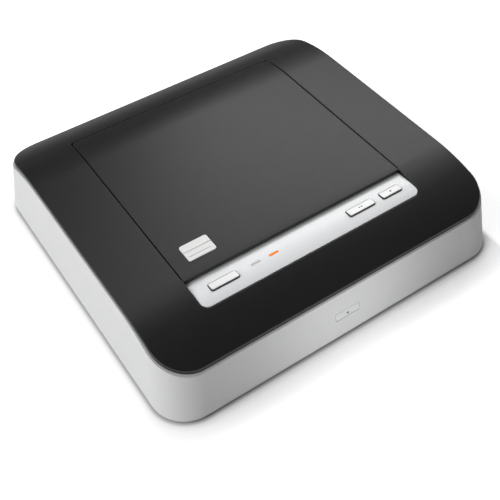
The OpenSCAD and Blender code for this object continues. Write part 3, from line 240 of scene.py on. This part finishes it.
def ray_kinds(tree):
    """Two sockets: 1 for the camera's rays, and 1 for rays in gloss and glass."""
    path = tree.nodes.new("ShaderNodeLightPath")
    gloss = math_node(tree, "MAXIMUM", path.outputs["Is Glossy Ray"], path.outputs["Is Transmission Ray"])
    return path.outputs["Is Camera Ray"], gloss


# ---------------------------------------------------------------- materials
class Shader:
    """A Principled material with small helpers for its procedural detail."""

    def __init__(self, name, color, roughness, metallic=0.0, specular=0.5):
        self.name = name
        self.mat = bpy.data.materials.new(name)
        self.mat.use_nodes = True
        self.tree = self.mat.node_tree
        self.bsdf = self.tree.nodes["Principled BSDF"]
        self.color = color
        self.set("Base Color", (*color, 1))
        self.set("Roughness", roughness)
        self.set("Metallic", metallic)
        self.set("Specular IOR Level", specular)
        self.coord = self.tree.nodes.new("ShaderNodeTexCoord").outputs["Object"]

    def set(self, socket, value):
        self.bsdf.inputs[socket].default_value = value

    def link(self, a, b):
        self.tree.links.new(a, b)

    def texture(self, kind, scale):
        node = self.tree.nodes.new(kind)
        node.inputs["Scale"].default_value = scale
        self.link(self.coord, node.inputs["Vector"])
        return node

    def noise(self, scale, detail=2.0):
        node = self.texture("ShaderNodeTexNoise", scale)
        node.inputs["Detail"].default_value = detail
        return node.outputs["Fac"]

    def ramp(self, factor, stops):
        node = self.tree.nodes.new("ShaderNodeValToRGB")
        elements = node.color_ramp.elements
        while len(elements) < len(stops):
            elements.new(0.5)
        for element, (at, color) in zip(elements, stops):
            element.position = at
            element.color = (*color, 1)
        self.link(factor, node.inputs["Fac"])
        return node.outputs["Color"]

    def vary_color(self, factor, amount):
        dark = tuple(c * (1 - amount) for c in self.color)
        light = tuple(min(1.0, c * (1 + amount)) for c in self.color)
        stops = list(zip(NOISE_BAND, (dark, light)))
        self.link(self.ramp(factor, stops), self.bsdf.inputs["Base Color"])

    def vary_roughness(self, factor, low, high):
        self.link(map_range(self.tree, factor, NOISE_BAND, (low, high)), self.bsdf.inputs["Roughness"])

    def bump(self, height, strength, distance, edge=0.0):
        """Fine relief. edge is a radius by which the shading also softens the piece's edges."""
        node = self.tree.nodes.new("ShaderNodeBump")
        if edge:
            soft = self.tree.nodes.new("ShaderNodeBevel")
            soft.samples = BEVEL_SAMPLES
            soft.inputs["Radius"].default_value = edge
            self.link(soft.outputs["Normal"], node.inputs["Normal"])
        node.inputs["Strength"].default_value = strength
        node.inputs["Distance"].default_value = distance
        self.link(height, node.inputs["Height"])
        self.link(node.outputs["Normal"], self.bsdf.inputs["Normal"])


def plastic(name, color, roughness, grain=2500.0, bump=0.15, vary=0.05, edge=0.0):
    """Moulded plastic with a fine grain, a slight cloudiness and an uneven shine."""
    shader = Shader(name, color, roughness)
    shader.vary_color(shader.noise(CLOUD_SCALE), vary)
    shader.vary_roughness(shader.noise(SHINE_SCALE), roughness * 0.9, roughness * 1.12)
    shader.bump(shader.noise(grain), bump, GRAIN_HEIGHT, edge)
    return shader


def metal(name, color, roughness, grain=1800.0, bump=0.1):
    """Bare metal with a fine grain."""
    shader = Shader(name, color, roughness, metallic=1.0)
    shader.vary_color(shader.noise(grain / 2), FAINT)
    shader.vary_roughness(shader.noise(grain, detail=3.0), roughness * 0.8, roughness * 1.25)
    shader.bump(shader.noise(grain, detail=3.0), bump, BRUSHED_HEIGHT)
    return shader


def silver_paint(name, color, roughness, vary=0.035, spread=0.15, bump=0.08, edge=0.0):
    """Plastic sprayed silver: tiny flakes that scatter the gloss, and a very light cloudiness."""
    shader = Shader(name, color, roughness, metallic=0.25)
    flakes = shader.texture("ShaderNodeTexVoronoi", FLAKE_SCALE).outputs["Distance"]
    shader.vary_color(shader.noise(SPRAY_SCALE), vary)
    shader.vary_roughness(flakes, roughness * (1 - spread), roughness * (1 + spread))
    shader.bump(flakes, bump, FLAKE_HEIGHT, edge)
    return shader


def lens_material(name, color, roughness, transmission=0.0, emission=0.0, glow=(1, 1, 1), specular=0.5):
    """Clear or tinted plastic or glass, which can glow a little."""
    shader = Shader(name, color, roughness, specular=specular)
    shader.set("Transmission Weight", transmission)
    shader.set("IOR", 1.49)
    shader.set("Emission Color", (*glow, 1))
    shader.set("Emission Strength", emission)
    shader.vary_color(shader.noise(LENS_CLOUD_SCALE), FAINT)
    shader.bump(shader.noise(LENS_GRAIN_SCALE), 0.1, LENS_HEIGHT)
    return shader


def hatched_lens(name, light, dark):
    """A lens moulded with fine slanting ribs."""
    shader = Shader(name, light, roughness=0.3)
    ribs = shader.texture("ShaderNodeTexWave", RIB_SCALE)
    ribs.bands_direction = "DIAGONAL"
    color = shader.ramp(ribs.outputs["Fac"], [(0.3, dark), (0.7, light)])
    shader.link(color, shader.bsdf.inputs["Base Color"])
    shader.bump(ribs.outputs["Fac"], 0.4, RIB_HEIGHT)
    return shader


def board_material(name, color):
    """Printed board: solder mask over faint tracks."""
    shader = Shader(name, color, roughness=0.35)
    bricks = shader.texture("ShaderNodeTexBrick", TRACK_SCALE)
    bricks.inputs["Mortar Size"].default_value = 0.03
    bricks.inputs["Color1"].default_value = (*color, 1)
    bricks.inputs["Color2"].default_value = (*[c * 0.8 for c in color], 1)
    bricks.inputs["Mortar"].default_value = (*[min(1, c * 1.7 + 0.02) for c in color], 1)
    shader.link(bricks.outputs["Color"], shader.bsdf.inputs["Base Color"])
    shader.bump(bricks.outputs["Fac"], 0.3, GRAIN_HEIGHT)
    return shader


def make_materials():
    """The record's material slots, and four more that only this script uses; two of them are painted shade
    on the keys' sides.

    They go by the shader's name, because Blender numbers a material whose name the CAD's own has.
    """
    black = {"color": (0.0055, 0.0057, 0.0058), "roughness": 0.34, "grain": 3200.0, "bump": 0.07,
             "vary": 0.06}
    made = [
        silver_paint("silver_case", (0.57, 0.572, 0.575), 0.42, edge=0.6 * MM),
        plastic("black_top", edge=1.1 * MM, **black),
        plastic("black_lid", edge=0.9 * MM, **black),
        silver_paint("strip_silver", (0.79, 0.80, 0.81), 0.34, edge=0.4 * MM),
        silver_paint("key_white", (0.96, 0.96, 0.955), 0.34, vary=0.01, spread=0.01, bump=0.01,
                     edge=0.15 * MM),
        # Painted shade: dark copies of the key's colour for its slanting faces, rounded rims and upright
        # sides.
        metal("key_edge_painted_shade", (0.26, 0.26, 0.265), 0.25, bump=0.03),
        plastic("key_side_painted_shade", (0.02, 0.02, 0.021), 0.3),
        silver_paint("pad_silver", (0.79, 0.79, 0.785), 0.34),
        lens_material("amber_lens", (0.95, 0.22, 0.0), 0.35, emission=0.2, glow=(1.0, 0.26, 0.0),
                      specular=0.2),
        hatched_lens("clear_lens", (0.66, 0.66, 0.65), (0.44, 0.44, 0.43)),
        silver_paint("silver_window", (0.62, 0.625, 0.63), 0.3),
        plastic("print_grey", (0.05, 0.05, 0.05), 0.5),
        plastic("dark_plastic", (0.030, 0.030, 0.032), 0.5, grain=1800.0, bump=0.3),
        plastic("pale_plastic", (0.62, 0.62, 0.59), 0.45),
        plastic("red_plastic", (0.55, 0.10, 0.03), 0.4),
        plastic("rubber", (0.018, 0.018, 0.018), 0.8, grain=1200.0, bump=0.5),
        metal("steel", (0.50, 0.51, 0.53), 0.35),
        metal("polished_steel", (0.68, 0.69, 0.71), 0.14, bump=0.03),
        metal("grey_metal", (0.36, 0.37, 0.39), 0.5, grain=900.0, bump=0.3),
        metal("copper_core", (0.45, 0.20, 0.09), 0.4, grain=1500.0, bump=0.4),
        lens_material("lens_glass", (0.35, 0.45, 0.80), 0.05, transmission=0.6),
        board_material("green_board", (0.02, 0.13, 0.055)),
        board_material("brown_board", (0.30, 0.19, 0.06)),
        plastic("chip_black", (0.02, 0.02, 0.02), 0.55, bump=0.3),
        plastic("tape_yellow", (0.62, 0.42, 0.05), 0.4),
        metal("can_metal", (0.60, 0.61, 0.63), 0.3),
        metal("nickel", (0.66, 0.62, 0.54), 0.2, bump=0.04),
        plastic("yellow", (0.80, 0.52, 0.02), 0.35),
        plastic("white", (0.78, 0.78, 0.76), 0.35),
        plastic("red", (0.55, 0.02, 0.02), 0.35),
        plastic("orange", (0.80, 0.20, 0.015), 0.35),
    ]
    return {shader.name: shader.mat for shader in made}


def assign(obj, material):
    obj.data.materials.clear()
    obj.data.materials.append(material)


# ---------------------------------------------------------------- pieces made from the CAD meshes
def stand_in(obj, node):
    """obj moves with the CAD node's body and takes its place."""
    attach(obj, nodes[node]["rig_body"])
    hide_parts(node)
    return obj


def on_top_rim(edge):
    """Whether the edge runs between a face that looks up and one that looks sideways."""
    low, high = sorted(face.normal.z for face in edge.link_faces)
    return edge.is_convex and high > RIM_TOP and abs(low) < RIM_SIDE


def side_index(face):
    """The face's place in a list of materials for the top, for slanting faces and for upright ones."""
    if face.normal.z > TOP_FACE:
        return 0
    return 1 if face.normal.z > SLANTING_FACE else 2


def round_edges(obj, width, rounded_material):
    """Bevel the edges that have a weight, and smooth the shading across them."""
    bevel = obj.modifiers.new("bevel", "BEVEL")
    bevel.width = width
    bevel.segments = BEVEL_SEGMENTS
    bevel.material = rounded_material
    bevel.limit_method = "WEIGHT"
    bpy.context.view_layer.objects.active = obj
    for other in bpy.context.selected_objects:
        other.select_set(False)
    obj.select_set(True)
    bpy.ops.object.modifier_apply(modifier="bevel")
    bpy.ops.object.shade_smooth_by_angle(angle=SMOOTH)
    weighted = obj.modifiers.new("weighted", "WEIGHTED_NORMAL")
    weighted.keep_sharp = True
    bpy.ops.object.modifier_apply(modifier="weighted")


def rounded_copy(node, width, top_rim_only=False, painted_shade_materials=(), lean=0.0):
    """A copy of a CAD node with its edges rounded as moulded ones are.

    The side materials are painted shade, for slanting faces and rounded edges, and for upright faces.
    lean is the slope by which the top falls towards the front.
    """
    mesh = nodes[node].data.copy()
    obj = add_object(node + "_moulded", mesh)
    bm = bmesh.new()
    bm.from_mesh(mesh)
    bmesh.ops.remove_doubles(bm, verts=bm.verts, dist=MERGE)
    bmesh.ops.dissolve_limit(bm, angle_limit=FLAT, verts=bm.verts, edges=bm.edges)
    top = max(vert.co.z for vert in bm.verts)
    back = max(vert.co.y for vert in bm.verts)
    for vert in bm.verts:
        if vert.co.z > top - KEY_TOP_DEPTH:
            vert.co.z -= lean * (back - vert.co.y)
    weight = bm.edges.layers.float.new("bevel_weight_edge")
    for edge in bm.edges:
        sharp = len(edge.link_faces) == 2 and edge.calc_face_angle(0) >= SHARP
        if sharp and (not top_rim_only or on_top_rim(edge)):
            edge[weight] = 1
    for material in painted_shade_materials:
        mesh.materials.append(material)
    if painted_shade_materials:
        for face in bm.faces:
            face.material_index = side_index(face)
    bm.to_mesh(mesh)
    bm.free()
    round_edges(obj, width, 1 if painted_shade_materials else -1)
    return stand_in(obj, node)


def mark(name, surface, facing, outlines):
    """A thin raised sign in the middle of a piece, on the side that looks along facing.

    The outlines are in millimetres.
    """
    centre = sum((Vector(corner) for corner in surface.bound_box), Vector()) / 8
    hit, middle, normal, _ = surface.ray_cast(centre + RAY_START * facing, -facing)
    if not hit:
        raise RuntimeError(name + " finds no face to lie on")
    up = normal.cross(RIGHT)
    points, faces = [], []
    for outline in outlines:
        first, count = len(points), len(outline)
        for height in (-SIGN_HALF_THICKNESS, SIGN_HALF_THICKNESS):
            points += [middle + (x * RIGHT + y * up + height * normal) * MM for x, y in outline]
        low, high = range(first, first + count), range(first + count, first + 2 * count)
        faces += [list(reversed(low)), list(high)]
        faces += [[low[i], low[(i + 1) % count], high[(i + 1) % count], high[i]] for i in range(count)]
    mesh = bpy.data.meshes.new(name)
    mesh.from_pydata(points, [], faces)
    obj = add_object(name, mesh)
    assign(obj, library["print_grey"])
    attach(obj, surface["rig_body"])


def rectangle(left, right, half_height):
    return [(left, -half_height), (right, -half_height), (right, half_height), (left, half_height)]


# ---------------------------------------------------------------- floor and light
def distance_outwards(tree, place):
    """The distance from a rectangle inside the foot, which is FOOT_CORNER at the foot's outline."""
    squares = []
    for axis, half in zip("XY", cad_box[1]):
        beyond = math_node(tree, "SUBTRACT", math_node(tree, "ABSOLUTE", place[axis]), half - FOOT_CORNER)
        squares.append(math_node(tree, "POWER", math_node(tree, "MAXIMUM", beyond, 0.0), 2.0))
    return math_node(tree, "SQRT", math_node(tree, "ADD", *squares))


def floor_color_with_painted_shadow(shader, away):
    """The floor's colour, darkened along the foot by a painted contact shadow."""
    painted_shadow_band = (FOOT_CORNER - PAINTED_SHADOW_INSIDE, FOOT_CORNER + PAINTED_SHADOW_OUTSIDE)
    painted_shadow = shader.tree.nodes.new("ShaderNodeVectorMath")
    painted_shadow.operation = "SCALE"
    painted_shadow.inputs[0].default_value = shader.color
    shader.link(map_range(shader.tree, away, painted_shadow_band, (PAINTED_CONTACT_SHADE, 1.0)), painted_shadow.inputs["Scale"])
    shader.link(painted_shadow.outputs["Vector"], shader.bsdf.inputs["Base Color"])


def floor_glow(shader, away):
    """The light that the floor gives to the camera and to gloss."""
    stops = [((FOOT_CORNER + at) / GLOW_SPAN, (share * FLOOR_GLOW,) * 3) for at, share in GLOW_SHARES]
    near = shader.ramp(math_node(shader.tree, "DIVIDE", away, GLOW_SPAN), stops)
    far = map_range(shader.tree, away, FAR_RANGE, (0.0, FAR_GLOW))
    by_camera, by_gloss = ray_kinds(shader.tree)
    seen = math_node(shader.tree, "MULTIPLY", by_camera, math_node(shader.tree, "ADD", near, far))
    mirrored = math_node(shader.tree, "MULTIPLY", by_gloss, FLOOR_GLOW_IN_GLOSS)
    shader.set("Emission Color", (1, 1, 1, 1))
    shader.link(math_node(shader.tree, "MAXIMUM", seen, mirrored), shader.bsdf.inputs["Emission Strength"])


def make_floor():
    """A pale floor that looks white, with the object's shadow close to its foot and a painted contact
    shadow along the foot.
    """
    half = FLOOR_HALF
    mesh = bpy.data.meshes.new("floor")
    corners = [(-half, -half, 0), (half, -half, 0), (half, half, 0), (-half, half, 0)]
    mesh.from_pydata(corners, [], [(0, 1, 2, 3)])
    floor = add_object("floor", mesh)
    shader = Shader("floor", (0.86, 0.86, 0.86), 0.5, specular=0.3)
    split = shader.tree.nodes.new("ShaderNodeSeparateXYZ")
    shader.link(shader.coord, split.inputs[0])
    away = distance_outwards(shader.tree, split.outputs)
    # The floor's colour carries a painted contact shadow along the foot.
    floor_color_with_painted_shadow(shader, away)
    right = math_node(shader.tree, "SUBTRACT", split.outputs["X"], cad_box[1].x)
    right = math_node(shader.tree, "MAXIMUM", right, 0.0)
    floor_glow(shader, math_node(shader.tree, "MULTIPLY_ADD", right, RIGHT_STRETCH, away))
    assign(floor, shader.mat)


def area_light(name, azimuth, elevation, distance, size, radiance, aim=(0, 0, 0.03), spread=180):
    """A rectangular soft box that looks at aim from a distance. radiance is that of its face."""
    data = bpy.data.lights.new(name, "AREA")
    data.shape = "RECTANGLE"
    data.size, data.size_y = size
    data.energy = radiance * math.pi * size[0] * size[1]
    data.spread = math.radians(spread)
    lamp = add_object(name, data)
    towards = direction(azimuth, elevation)
    lamp.location = Vector(aim) + distance * towards
    lamp.rotation_euler = (-towards).to_track_quat("-Z", "Y").to_euler()


def light_scene():
    world = bpy.data.worlds.new("world")
    bpy.context.scene.world = world
    world.use_nodes = True
    tree = world.node_tree
    background = tree.nodes["Background"]
    background.inputs["Color"].default_value = (1, 1, 1, 1)
    by_camera, by_gloss = ray_kinds(tree)
    light = math_node(tree, "MULTIPLY_ADD", by_gloss, WORLD_IN_GLOSS - WORLD, WORLD)
    tree.links.new(math_node(tree, "MAXIMUM", by_camera, light), background.inputs["Strength"])
    for lamp in LAMPS:
        area_light(*lamp)
    bpy.context.scene.view_settings.view_transform = "Standard"


# ---------------------------------------------------------------- the scene
place_camera()
make_floor()
light_scene()
library = make_materials()
for part in frame["record"]["subparts"]:
    assign(nodes[part["node"]], library[part["material_slot"]])
assign(nodes["lid_shell"], library["black_lid"])

# Painted shade on the keys' slanting faces, rounded rims and upright sides.
painted_shade_materials = (library["key_edge_painted_shade"], library["key_side_painted_shade"])
key_options = {"top_rim_only": True, "painted_shade_materials": painted_shade_materials, "lean": KEY_LEAN}
moulded = {}
for name, width in ROUNDING.items():
    moulded[name] = rounded_copy(name, width, **(key_options if name in KEYS else {}))

# The catch pushes the spring's front end. The copy, with a mesh of its own, stands in for the spring.
spring = stand_in(add_object("latch_spring_copy", nodes["latch_spring"].data.copy()), "latch_spring")
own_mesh(spring)

square = rectangle(-STOP_HALF_WIDTH, STOP_HALF_WIDTH, SIGN_HALF_HEIGHT)
bars = [rectangle(left, left + BAR_WIDTH, SIGN_HALF_HEIGHT) for left in BARS_FROM]
window_square = rectangle(-WINDOW_SIGN_HALF_WIDTH, WINDOW_SIGN_HALF_WIDTH, WINDOW_SIGN_HALF_HEIGHT)
mark("stop_sign", moulded["stop_button"], UP, [square])
mark("play_sign", moulded["play_button"], UP, [TRIANGLE, *bars])
mark("window_sign", moulded["ir_window"], FORWARD, [window_square])
